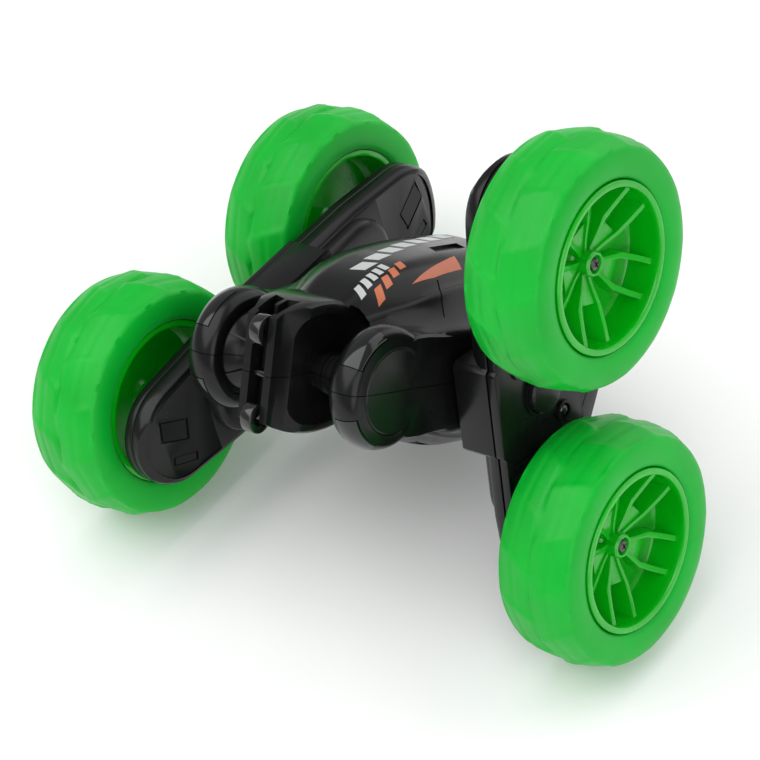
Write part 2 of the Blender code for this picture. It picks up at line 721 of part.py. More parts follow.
def build_body(paint, pitch):
    build_shells(paint, pitch)
    finish(build_nose_bracket("nose_bracket"), paint["trim"], pitch)
    finish(build_circuit_board("circuit_board"), paint["board"], pitch)
    finish(build_battery("battery_pack"), paint["battery"], pitch)
    finish(build_door_screw("battery_door_screw"), paint["screw"], pitch)
    finish(build_switch("power_switch"), paint["trim"], pitch)
    for side, label in ((1, "right"), (-1, "left")):
        finish(build_led(f"{label}_headlamp_led", side), paint["led"], pitch)
        for upper, level in ((True, "upper"), (False, "lower")):
            finish(lamp_sector(f"{label}_{level}_lamp_window", side, upper), paint["window"], pitch)


def paints():
    return {
        "casing": material("black_casing", (0.035, 0.037, 0.037), 0.38),
        "trim": material("black_trim", (0.012, 0.012, 0.013), 0.25),
        "window": material("smoked_window", (0.008, 0.009, 0.010), 0.08),
        "tyre": material("green_tyre", (0.0, 0.56, 0.055), 0.5),
        "rim": material("green_rim", (0.0, 0.42, 0.05), 0.28),
        "steel": material("axle_steel", (0.56, 0.57, 0.58), 0.3, 1.0),
        "screw": material("screw_steel", (0.62, 0.62, 0.6), 0.28, 1.0),
        "brass": material("pinion_brass", (0.78, 0.6, 0.3), 0.3, 1.0),
        "gear": material("gear_plastic", (0.83, 0.82, 0.78), 0.5),
        "motor": material("motor_can", (0.6, 0.6, 0.6), 0.35, 1.0),
        "board": material("circuit_green", (0.02, 0.16, 0.06), 0.45),
        "battery": material("battery_wrap", (0.02, 0.08, 0.32), 0.35),
        "led": material("led_clear", (0.85, 0.87, 0.85), 0.15),
    }


def main():
    clear_scene()
    paint = paints()
    stance = empty("stance", place=(STANCE_SHIFT, 0.0, STANCE_HEIGHT), turn_axis="Y", turn=-ROLL)
    pitch = empty("body_pitch", stance, turn=radians(BODY_PITCH))
    left_pivot = empty("left_arm_pivot", stance)
    right_pivot = empty("right_arm_pivot", stance, turn=radians(RIGHT_ARM_ANGLE))
    build_body(paint, pitch)
    build_arm(-1, "left", left_pivot, paint)
    build_arm(1, "right", right_pivot, paint)
    bpy.context.view_layer.update()


main()
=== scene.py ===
"""Looks of the double-sided stunt car: shells, arms, wheels and their materials.

Every frame used here has X across the car, in millimetres, and is read from the joints:
the body's frame, each arm's frame (side * s, a, b) and each wheel's frame.
"""
import json
from math import acos, atan2, cos, hypot, pi, radians, sin

import bmesh
import bpy
from mathutils import Matrix, Quaternion, Vector
from mathutils.bvhtree import BVHTree


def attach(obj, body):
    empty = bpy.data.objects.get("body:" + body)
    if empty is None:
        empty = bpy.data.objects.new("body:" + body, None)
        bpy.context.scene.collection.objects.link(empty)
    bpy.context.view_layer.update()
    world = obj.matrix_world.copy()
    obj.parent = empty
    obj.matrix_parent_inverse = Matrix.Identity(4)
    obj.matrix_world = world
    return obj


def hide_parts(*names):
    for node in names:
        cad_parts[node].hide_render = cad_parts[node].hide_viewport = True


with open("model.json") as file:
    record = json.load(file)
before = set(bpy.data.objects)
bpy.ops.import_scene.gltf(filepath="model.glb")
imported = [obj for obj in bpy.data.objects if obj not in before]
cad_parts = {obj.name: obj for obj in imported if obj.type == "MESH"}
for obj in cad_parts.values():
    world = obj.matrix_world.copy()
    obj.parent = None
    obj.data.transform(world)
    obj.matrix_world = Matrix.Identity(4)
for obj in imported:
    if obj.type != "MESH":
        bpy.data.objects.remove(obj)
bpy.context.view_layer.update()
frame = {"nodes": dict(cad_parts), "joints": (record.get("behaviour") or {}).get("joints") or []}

MM = 0.001
JOINTS = {joint["name"]: joint for joint in frame["joints"]}
SIDES = ((-1, "left"), (1, "right"))
ENDS = ((1, "far"), (-1, "near"))
GAP = 0.35

# Wheels
TYRE_RADIUS = 40.0
TREAD_HALF = 13.2
WALL_TOP = 34.0                 # the tread relief stays outside this radius
SHOULDER_DROP = 3.0
TREAD_SQUARENESS = 3.1
LUGS = 14
LUG_STEPS = 18
LUG_FLATNESS = 0.60             # 1 makes each lug a straight side of the outline
GROOVE_DEPTH = 0.40
LUG_RAKE = 0.45                 # a lug falls by this much to its trailing end
LUG_SLANT = 0.34                # share of a lug's pitch, from the middle to the shoulder
LUG_STAGGER = 0.5               # the two halves of the tread, in shares of the pitch
RIM_RADIUS = 26.75
RIM_INNER = 24.9
RIM_LIP = 13.9
BOSS_RADIUS = 4.1
HUB_FACE = 7.6
HUB_SINK = 1.6                  # depth of the screw's seat in the hub boss
AXLE_HOLE = 1.85
WEB_FACE = 1.5
WEB_BACK = -0.6
SPOKES = 5
SPOKE_TURN = 0.35

# Arms
ARM_INNER = 45.0
ARM_SEAM = 50.8
PAN_LEVEL = 45.6                # floor of the shallow pan in each end
END_LEVEL = 49.6
SLOPE_START = 69.0
ARM_OUTER = 54.5
ARM_HALF_HEIGHT = 19.9
MOTOR_BOX_TOP = 21.2
ARM_TAPER_START = 38.0
ARM_END_CENTRE = 60.5
ARM_END_RADIUS = 17.8
AXLE_A = 49.4
LIP_START = 45.6
LIP_STEP = 2.2
COVER_WALL = 1.2
BULGE = (30.0, 14.0, 28.5)      # half-length, half-length of its top, depth
MOTOR_BOX_HALF = 16.0
MOTOR_BOX_FACE = 38.2
PLATEAU_HALF = 46.5
PLATEAU_FACE = 41.4
PIVOT_CAP = (7.4, 57.6)
COVER_SCREW_PLACE = (12.0, 9.5)
SCREW_FLOOR = 53.8
WALL = 1.5
DRUM_RADIUS = 13.0
DRUM_BORE = 10.9
DRUM_END = 20.0
DRUM_FLANGE = (22.3, 24.3, 15.0)

# Body
SHELL_WALL = 1.7
POD_Y = -48.0
POD_SEGMENTS = 96
POD_NECK = 6.4
POD_RIM = (28.8, 5.6, 16.2, 3.3)        # middle X, half-width, radius, bulge
BEARING_RADIUS = 17.0
BEARING_INNER = 24.7
BATTERY_DOOR = (13.0, 9.0, 37.0)
SWITCH_PLACE = (14.0, -6.0)
SWITCH_HOLE = (1.9, 3.6)        # half-width, half-length
HOOK_CENTRE = (-70.4, 13.6)
SHELL_SHARP = 28.0              # edges under this angle are shaded smooth, in degrees
BELLY = 28.8
CREST_HALF = 8.0
HULL_STATIONS = (               # Y, half-width, shoulder, ridge half-width, ridge, crest, belly
    (-44.0, 27.0, 13.0, 15.0, 17.0, 21.6, 13.5),
    (-37.0, 31.5, 13.5, 18.0, 19.5, 26.5, 16.0),
    (-28.0, 34.4, 14.2, 22.0, 22.5, 30.0, 19.0),
    (-16.0, 35.6, 15.0, 24.5, 26.0, 33.0, 24.5),
    (2.0, 35.6, 15.0, 25.0, 27.5, 34.8, BELLY),
    (26.0, 35.6, 15.0, 25.0, 27.5, 34.8, BELLY),
    (44.0, 31.0, 13.5, 22.0, 23.5, 30.0, 26.5),
    (58.0, 25.0, 11.0, 18.0, 17.0, 22.0, 19.5),
    (64.0, 22.0, 8.0, 15.0, 11.5, 14.5, 13.0),
)
HOOD_CENTRE = (-53.5, -12.5)    # Y, Z of the arch that the hood's edge follows
HOOD_RADIUS = 35.8
HOOD_HALF = 10.2
HOOD_THICKNESS = 3.9
NOSE_WEB_HALF = 5.8
NOSE_FRONT = -72.0
SLOT_HALF = 2.9
SLOT_BACK = -63.0
NOSE_WALL = -29.2
LOWER_SHARE = 0.80              # depth of the nose's underside against its top


# ---------------------------------------------------------------- frames

def joint_point(name):
    return Vector(JOINTS[name]["pos_m"])


def joint_axis(name):
    return Vector(JOINTS[name]["axis"]).normalized()


LATERAL = joint_axis("left_arm_swing")
CAR_CENTRE = (joint_point("left_arm_swing") + joint_point("right_arm_swing")) / 2


def frame_matrix(along, origin):
    """From millimetres in a frame with X across the car and Y along a direction, to the world."""
    up = LATERAL.cross(along).normalized()
    matrix = Matrix((LATERAL, along, up)).transposed().to_4x4()
    matrix.translation = origin
    return matrix @ Matrix.Scale(MM, 4)


def arm_direction(label):
    far = joint_point(f"{label}_far_wheel_spin")
    near = joint_point(f"{label}_near_wheel_spin")
    return (far - near).normalized()


BODY_FRAME = frame_matrix(joint_axis("power_switch_slide"), CAR_CENTRE)
ARM_FRAMES = {label: frame_matrix(arm_direction(label), CAR_CENTRE) for _, label in SIDES}


# ---------------------------------------------------------------- mesh tools

def raw_object(name, bm):
    """An unplaced object, in millimetres, with its faces turned outwards."""
    bmesh.ops.recalc_face_normals(bm, faces=bm.faces)
    mesh = bpy.data.meshes.new(name)
    bm.to_mesh(mesh)
    bm.free()
    obj = bpy.data.objects.new(name, mesh)
    bpy.context.scene.collection.objects.link(obj)
    return obj


def lathe(name, profile, centre=(0.0, 0.0), side=1, segments=64, closed=False):
    """Turn (x, radius) points about a line along X; an open profile gets flat ends."""
    bm = bmesh.new()
    rings = []
    for x, radius in profile:
        ring = []
        for step in range(segments):
            turn = 2 * pi * step / segments
            y = centre[0] + radius * cos(turn)
            z = centre[1] + radius * sin(turn)
            ring.append(bm.verts.new((side * x, y, z)))
        rings.append(ring)
    pairs = list(zip(rings, rings[1:]))
    if closed:
        pairs.append((rings[-1], rings[0]))
    for first, second in pairs:
        for step in range(segments):
            after = (step + 1) % segments
            bm.faces.new((first[step], first[after], second[after], second[step]))
    if not closed:
        bm.faces.new(rings[0])
        bm.faces.new(rings[-1])
    return raw_object(name, bm)


def prism(name, outline, start, end, side=1):
    """Extrude an outline of (y, z) points along X."""
    return loft(name, [[(side * x, y, z) for y, z in outline] for x in (start, end)])


def plan_prism(name, outline, low, high):
    """Extrude an outline of (x, y) points along Z."""
    return loft(name, [[(x, y, z) for x, y in outline] for z in (low, high)])


def block(name, low, high):
    outline = ((low[1], low[2]), (high[1], low[2]), (high[1], high[2]), (low[1], high[2]))
    return prism(name, outline, low[0], high[0])


def loft(name, sections):
    """Join closed sections, each a list of (x, y, z) with the same number of points."""
    bm = bmesh.new()
    rings = [[bm.verts.new(point) for point in section] for section in sections]
    for first, second in zip(rings, rings[1:]):
        for index in range(len(first)):
            after = (index + 1) % len(first)
            bm.faces.new((first[index], first[after], second[after], second[index]))
    bm.faces.new(rings[0])
    bm.faces.new(rings[-1])
    return raw_object(name, bm)


def apply_modifiers(obj):
    bpy.context.view_layer.update()
    evaluated = obj.evaluated_get(bpy.context.evaluated_depsgraph_get())
    mesh = bpy.data.meshes.new_from_object(evaluated)
    obj.modifiers.clear()
    obj.data = mesh
    return obj


def combine(target, tool, operation):
    modifier = target.modifiers.new("combine", "BOOLEAN")
    modifier.operation = operation
    modifier.solver = "MANIFOLD"
    modifier.object = tool
    apply_modifiers(target)
    bpy.data.objects.remove(tool, do_unlink=True)
    return target


def join(target, tool):
    return combine(target, tool, "UNION")


def cut(target, tool):
    return combine(target, tool, "DIFFERENCE")


def keep(target, tool):
    return combine(target, tool, "INTERSECT")


def copy_of(obj, name):
    twin = bpy.data.objects.new(name, obj.data.copy())
    bpy.context.scene.collection.objects.link(twin)
    return twin


def weld(obj, dist, flat_angle=None):
    """Merge points closer than dist; with an angle, also merge faces that are as good as flat."""
    bm = bmesh.new()
    bm.from_mesh(obj.data)
    bmesh.ops.remove_doubles(bm, verts=bm.verts, dist=dist)
    bmesh.ops.dissolve_degenerate(bm, edges=bm.edges, dist=dist)
    if flat_angle:
        bmesh.ops.dissolve_limit(bm, angle_limit=radians(flat_angle), verts=bm.verts, edges=bm.edges)
    bm.to_mesh(obj.data)
    bm.free()


def paint(obj, mat):
    obj.data.materials.clear()
    obj.data.materials.append(mat)


def round_edges(obj, width, segments=2, angle=38.0):
    """Bevel the sharp edges, for a moulded edge that catches the light."""
    weld(obj, 0.01, 0.6)
    bevel = obj.modifiers.new("bevel", "BEVEL")
    bevel.width = width
    bevel.segments = segments
    bevel.limit_method = "ANGLE"
    bevel.angle_limit = radians(angle)
    bevel.use_clamp_overlap = True
    return apply_modifiers(obj)


def publish(obj, name, matrix, mat, body, replaces=(), sharp=32.0):
    """Place a finished piece in the world, paint it and let it ride on its body."""
    weld(obj, 0.004)
    obj.name = name
    obj.data.transform(matrix)
    obj.data.shade_smooth()
    obj.data.set_sharp_from_angle(angle=radians(sharp))
    paint(obj, mat)
    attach(obj, body)
    if replaces:
        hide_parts(*replaces)
    return obj


def mix(a, b, share):
    return a + (b - a) * share


def smooth_step(value, low, high):
    share = min(1.0, max(0.0, (value - low) / (high - low)))
    return share * share * (3 - 2 * share)


# ---------------------------------------------------------------- materials

def new_material(name, colour, roughness, metallic=0.0, coat=0.0):
    mat = bpy.data.materials.new(name)
    mat.use_nodes = True
    shader = mat.node_tree.nodes["Principled BSDF"]
    shader.inputs["Base Color"].default_value = (*colour, 1.0)
    shader.inputs["Roughness"].default_value = roughness
    shader.inputs["Metallic"].default_value = metallic
    shader.inputs["Coat Weight"].default_value = coat
    return mat, mat.node_tree.nodes, mat.node_tree.links, shader


def noise(nodes, links, scale, detail=3.0):
    """Noise on the piece's own coordinates."""
    place = nodes.new("ShaderNodeTexCoord")
    texture = nodes.new("ShaderNodeTexNoise")
    texture.inputs["Scale"].default_value = scale
    texture.inputs["Detail"].default_value = detail
    links.new(place.outputs["Object"], texture.inputs["Vector"])
    return texture.outputs["Fac"]


def spread(nodes, links, source, low, high):
    """Map 0.3..0.7 of a noise onto a range."""
    node = nodes.new("ShaderNodeMapRange")
    node.inputs["From Min"].default_value = 0.3
    node.inputs["From Max"].default_value = 0.7
    node.inputs["To Min"].default_value = low
    node.inputs["To Max"].default_value = high
    links.new(source, node.inputs["Value"])
    return node.outputs["Result"]


def blend_colours(nodes, links, source, dark, light):
    ramp = nodes.new("ShaderNodeValToRGB")
    ramp.color_ramp.elements[0].position = 0.32
    ramp.color_ramp.elements[0].color = (*dark, 1.0)
    ramp.color_ramp.elements[1].position = 0.68
    ramp.color_ramp.elements[1].color = (*light, 1.0)
    links.new(source, ramp.inputs["Fac"])
    return ramp.outputs["Color"]


def bump(nodes, links, shader, source, strength, distance):
    node = nodes.new("ShaderNodeBump")
    node.inputs["Strength"].default_value = strength
    node.inputs["Distance"].default_value = distance
    links.new(source, node.inputs["Height"])
    links.new(node.outputs["Normal"], shader.inputs["Normal"])


def moulded(name, dark, light, roughness, coat=0.0, grain=2600.0, grain_depth=0.000006, gloss=0.5):
    """Moulded plastic: slight colour drift, uneven polish and a fine mould grain."""
    mat, nodes, links, shader = new_material(name, light, sum(roughness) / 2, coat=coat)
    shader.inputs["Coat Roughness"].default_value = 0.12
    drift = noise(nodes, links, 45.0)
    links.new(blend_colours(nodes, links, drift, dark, light), shader.inputs["Base Color"])
    polish = noise(nodes, links, 120.0, 5.0)
    links.new(spread(nodes, links, polish, *roughness), shader.inputs["Roughness"])
    shader.inputs["Specular IOR Level"].default_value = gloss
    bump(nodes, links, shader, noise(nodes, links, grain, 4.0), 0.35, grain_depth)
    return mat


def metal(name, dark, light, roughness, stretch=1.0):
    """Metal with fine machining marks."""
    mat, nodes, links, shader = new_material(name, light, sum(roughness) / 2, metallic=1.0)
    marks = noise(nodes, links, 700.0 * stretch, 4.0)
    links.new(blend_colours(nodes, links, marks, dark, light), shader.inputs["Base Color"])
    links.new(spread(nodes, links, marks, *roughness), shader.inputs["Roughness"])
    bump(nodes, links, shader, marks, 0.2, 0.00001)
    return mat


def tyre_material():
    """Soft tinted rubber that lets a little light through."""
    mat = moulded("soft_green", (0.0, 0.36, 0.022), (0.0, 0.42, 0.028), (0.38, 0.48), grain=1300.0)
    shader = mat.node_tree.nodes["Principled BSDF"]
    shader.inputs["Specular IOR Level"].default_value = 0.28
    shader.inputs["Subsurface Weight"].default_value = 0.25
    shader.inputs["Subsurface Radius"].default_value = (0.2, 1.0, 0.35)
    shader.inputs["Subsurface Scale"].default_value = 0.004
    return mat


def rim_material():
    mat = moulded("clear_green", (0.0, 0.40, 0.004), (0.0, 0.50, 0.008), (0.18, 0.28), coat=0.2)
    shader = mat.node_tree.nodes["Principled BSDF"]
    shader.inputs["Transmission Weight"].default_value = 0.1
    shader.inputs["IOR"].default_value = 1.5
    return mat


PAINT = {
    "casing": moulded("satin_black", (0.0035, 0.004, 0.0038), (0.006, 0.0065, 0.0062), (0.2, 0.28),
                      gloss=0.27),
    "trim": moulded("gloss_black", (0.003, 0.003, 0.003), (0.005, 0.005, 0.005), (0.12, 0.2), coat=0.4),
    "window": moulded("smoked_lens", (0.003, 0.0035, 0.004), (0.005, 0.006, 0.006), (0.08, 0.12),
                      coat=0.3, gloss=0.4),
    "tyre": tyre_material(),
    "rim": rim_material(),
    "steel": metal("ground_steel", (0.42, 0.43, 0.44), (0.6, 0.61, 0.62), (0.22, 0.34)),
    "screw": metal("blackened_screw", (0.10, 0.10, 0.095), (0.19, 0.19, 0.18), (0.25, 0.4)),
    "brass": metal("cut_brass", (0.62, 0.45, 0.2), (0.82, 0.64, 0.33), (0.22, 0.34)),
    "can": metal("zinc_can", (0.45, 0.45, 0.45), (0.64, 0.64, 0.63), (0.28, 0.42)),
    "gear": moulded("white_nylon", (0.72, 0.71, 0.66), (0.84, 0.83, 0.79), (0.42, 0.55)),
    "board": moulded("solder_mask", (0.01, 0.11, 0.04), (0.02, 0.18, 0.07), (0.3, 0.5), grain=400.0),
    "battery": moulded("shrink_wrap", (0.015, 0.06, 0.26), (0.025, 0.09, 0.36), (0.22, 0.34)),
    "led": moulded("clear_epoxy", (0.80, 0.82, 0.80), (0.9, 0.92, 0.9), (0.08, 0.14)),
    "white": moulded("white_print", (0.42, 0.44, 0.44), (0.50, 0.52, 0.52), (0.3, 0.42)),
    "orange": moulded("orange_print", (0.44, 0.11, 0.045), (0.52, 0.14, 0.06), (0.3, 0.42)),
}


def paint_kept_nodes():
    """Give the inner parts that stay as they are a finished material."""
    kinds = {
        "_axle": "steel", "_pinion": "brass", "_gear": "gear", "_motor": "can", "_contact_disc": "board",
        "circuit_board": "board", "battery_pack": "battery", "_led": "led",
    }
    for name, obj in frame["nodes"].items():
        for ending, colour in kinds.items():
            if name.endswith(ending):
                paint(obj, PAINT[colour])


# ---------------------------------------------------------------- wheels

def tread_radius(x):
    return TYRE_RADIUS - SHOULDER_DROP * (min(abs(x), TREAD_HALF) / TREAD_HALF) ** TREAD_SQUARENESS


def tyre_profile():
    """(x, radius) over the tyre, bead to bead: rounded walls and the tread's own points."""
    wall = [(11.6, 26.95), (12.6, 27.0), (13.3, 27.7), (13.75, 29.0), (13.95, 31.0), (14.0, 32.4),
            (13.88, 34.3), (13.6, 35.6)]
    tread = [TREAD_HALF * (step / 15.0) for step in range(-15, 16)]
    left = [(-x, radius) for x, radius in wall]
    return left + [(x, tread_radius(x)) for x in tread] + wall[::-1]


def lug_relief(turn, x):
    """How far the tread lies below its full radius: raked, flat-topped lugs parted by faint grooves."""
    pitch = 2 * pi / LUGS
    share = abs(x) / TREAD_HALF
    if share > 1.06:
        return 0.0
    slant = LUG_SLANT * share + (0.0 if x > 0 else LUG_STAGGER)
    place = (turn / pitch + slant) % 1.0
    from_middle = (place - 0.5) * pitch
    flat = TYRE_RADIUS * (1 - cos(pitch / 2) / cos(from_middle)) * LUG_FLATNESS
    rake = place / 0.93 if place < 0.93 else (1 - place) / 0.07
    groove = 1.0 - smooth_step(min(place, 1.0 - place), 0.02, 0.05)
    curved_line = 1.0 - smooth_step(abs(share - 0.5), 0.02, 0.06)
    centre_line = 1.0 - smooth_step(share, 0.02, 0.07)
    depth = max(0.3 * groove, 0.8 * curved_line, centre_line) * GROOVE_DEPTH
    return flat + rake * LUG_RAKE + depth


def build_tyre(name, side, ground_turn):
    """Tyre as one closed skin; a lug's end meets the ground at ground_turn."""
    profile = tyre_profile()
    steps = LUGS * LUG_STEPS
    bm = bmesh.new()
    rings = []
    for step in range(steps):
        turn = 2 * pi * step / steps
        ring = []
        for x, radius in profile:
            fade = 0.0
            if radius > WALL_TOP:
                fade = 1 - smooth_step(abs(x), TREAD_HALF - 1.4, TREAD_HALF + 0.5)
            reach = radius - lug_relief(turn - ground_turn, x) * fade
            ring.append(bm.verts.new((side * x, reach * cos(turn), reach * sin(turn))))
        rings.append(ring)
    count = len(profile)
    for index, ring in enumerate(rings):
        following = rings[(index + 1) % steps]
        for point in range(count):
            after = (point + 1) % count
            bm.faces.new((ring[point], ring[after], following[after], following[point]))
    return raw_object(name, bm)


def rotate_outline(outline, turn):
    return [(y * cos(turn) - z * sin(turn), y * sin(turn) + z * cos(turn)) for y, z in outline]


def rib_outline(start, end, half):
    """Thin strip between two (y, z) points."""
    length = hypot(end[0] - start[0], end[1] - start[1])
    across = (-(end[1] - start[1]) / length * half, (end[0] - start[0]) / length * half)
    return [(start[0] - across[0], start[1] - across[1]), (end[0] - across[0], end[1] - across[1]),
            (end[0] + across[0], end[1] + across[1]), (start[0] + across[0], start[1] + across[1])]


def spoke_blade(name, side, turn, path):
    """Upright blade on the web, along (radius, offset, height, half-width) stations."""
    sections = []
    foot = WEB_FACE - 0.6
    for radius, offset, height, half in path:
        ring = []
        for x, across in ((foot, -half), (foot, half), (height, half * 0.8), (height, -half * 0.8)):
            y, z = rotate_outline([(radius, offset + across)], turn)[0]
            ring.append((side * x, y, z))
        sections.append(ring)
    return loft(name, sections)


def build_rim(name, side):
    """Deep dish with a closed web, five split spokes that climb to the lip, and a hub boss."""
    profile = (
        (-12.4, RIM_INNER), (-12.4, RIM_RADIUS), (12.2, RIM_RADIUS), (13.4, RIM_RADIUS),
        (RIM_LIP - 0.1, RIM_RADIUS - 0.3), (RIM_LIP, RIM_RADIUS - 0.8), (13.7, RIM_RADIUS - 2.0),
        (12.9, RIM_RADIUS - 2.3), (11.6, RIM_INNER - 0.3), (5.0, RIM_INNER - 0.5), (2.6, RIM_INNER - 0.9),
        (WEB_FACE, RIM_INNER - 2.6), (WEB_FACE, BOSS_RADIUS + 0.8), (2.2, BOSS_RADIUS),
        (HUB_FACE - 0.6, BOSS_RADIUS), (HUB_FACE, BOSS_RADIUS - 0.6), (HUB_FACE, 3.0),
        (HUB_FACE - 0.5, 2.75), (HUB_FACE - HUB_SINK, 2.7), (HUB_FACE - HUB_SINK, AXLE_HOLE),
        (-8.0, AXLE_HOLE), (-8.0, 3.6), (-1.6, 3.9), (WEB_BACK, 5.2), (WEB_BACK, RIM_INNER - 2.4),
        (-2.4, RIM_INNER - 0.6),
    )
    rim = lathe(name, profile, side=side, segments=120, closed=True)
    for index in range(SPOKES):
        turn = 2 * pi * index / SPOKES + SPOKE_TURN
        reach = RIM_INNER + 0.35
        plate = ((3.0, 0.0, 3.4, 1.6), (8.0, 0.0, 4.4, 3.2), (13.0, 0.0, 5.4, 5.0))
        join(rim, spoke_blade("plate", side, turn, plate))
        for sign in (1, -1):
            leg = ((3.0, sign * 1.0, 4.0, 0.8), (8.0, sign * 2.6, 5.2, 0.9), (13.4, sign * 4.9, 6.6, 1.15),
                   (19.0, sign * 5.4, 8.6, 1.1), (reach, sign * 5.6, 10.8, 1.1))
            join(rim, spoke_blade("leg", side, turn, leg))
    return rim


def build_hub_screw(name, side):
    """Pan head with a cross recess, sunk in the hub boss."""
    base = HUB_FACE - HUB_SINK + GAP
    dome = ((base, 2.0), (base + 0.5, 2.1), (base + 1.1, 1.8), (base + 1.4, 1.1))
    head = lathe(name, dome, side=side, segments=32)
    for turn in (0.4, 0.4 + pi / 2):
        slot = rib_outline((-1.1 * cos(turn), -1.1 * sin(turn)), (1.1 * cos(turn), 1.1 * sin(turn)), 0.28)
        cut(head, prism("slot", slot, base + 0.5, base + 2.0, side))
    return head


def build_wheels():
    for side, label in SIDES:
        along = arm_direction(label)
        up = LATERAL.cross(along)
        ground_turn = atan2(-up.z, -along.z)
        for _, place in ENDS:
            name = f"{label}_{place}"
            body = f"{name}_wheel"
            matrix = frame_matrix(along, joint_point(f"{name}_wheel_spin"))
            publish(build_tyre("tyre", side, ground_turn), f"{name}_treaded_tyre", matrix, PAINT["tyre"],
                    body, (f"{name}_tyre",), 70.0)
            publish(round_edges(build_rim("rim", side), 0.18), f"{name}_spoked_rim", matrix, PAINT["rim"],
                    body, (f"{name}_rim",), 36.0)
            publish(build_hub_screw("screw", side), f"{name}_cross_screw", matrix, PAINT["screw"],
                    body, (f"{name}_hub_screw",))


# ---------------------------------------------------------------- arms

def arm_outline(inset=0.0, arc_steps=20):
    """Long rounded outline: parallel edges, a taper, then a round end."""
    height = ARM_HALF_HEIGHT - inset
    radius = ARM_END_RADIUS - inset
    reach = hypot(ARM_END_CENTRE - ARM_TAPER_START, height)
    tangent = pi - atan2(height, ARM_END_CENTRE - ARM_TAPER_START) - acos(radius / reach)
    end = []
    for step in range(arc_steps + 1):
        turn = tangent - 2 * tangent * step / arc_steps
        end.append((ARM_END_CENTRE + radius * cos(turn), radius * sin(turn)))
    half = [(ARM_TAPER_START, height)] + end + [(ARM_TAPER_START, -height)]
    return half + [(-a, -b) for a, b in half]


def bulge_outline(inset=0.0):
    wide, top, depth = BULGE
    height = ARM_HALF_HEIGHT - inset
    right = [(wide - inset, 0.0), (wide - inset, -height + 2.0), (top - inset * 0.6, -depth + inset)]
    return right + [(-a, b) for a, b in reversed(right)]


def box_outline(left, right, low, high, corner):
    return [(right - corner, low), (right, low + corner), (right, high - corner), (right - corner, high),
            (left + corner, high), (left, high - corner), (left, low + corner), (left + corner, low)]


def lofted(name, side, outlines):
    """Join (x, outline) stations into one body with sloped or rounded walls."""
    return loft(name, [[(side * x, y, z) for y, z in outline] for x, outline in outlines])


def soft_box(half_a, half_b, radius, steps=7):
    """Rectangle about the middle with round corners."""
    points = []
    for sign_a, sign_b, first in ((1, 1, 0.0), (-1, 1, 90.0), (-1, -1, 180.0), (1, -1, 270.0)):
        for step in range(steps + 1):
            turn = radians(first + 90.0 * step / steps)
            a = sign_a * (half_a - radius) + radius * cos(turn)
            b = sign_b * (half_b - radius) + radius * sin(turn)
            points.append((a, b))
    return points


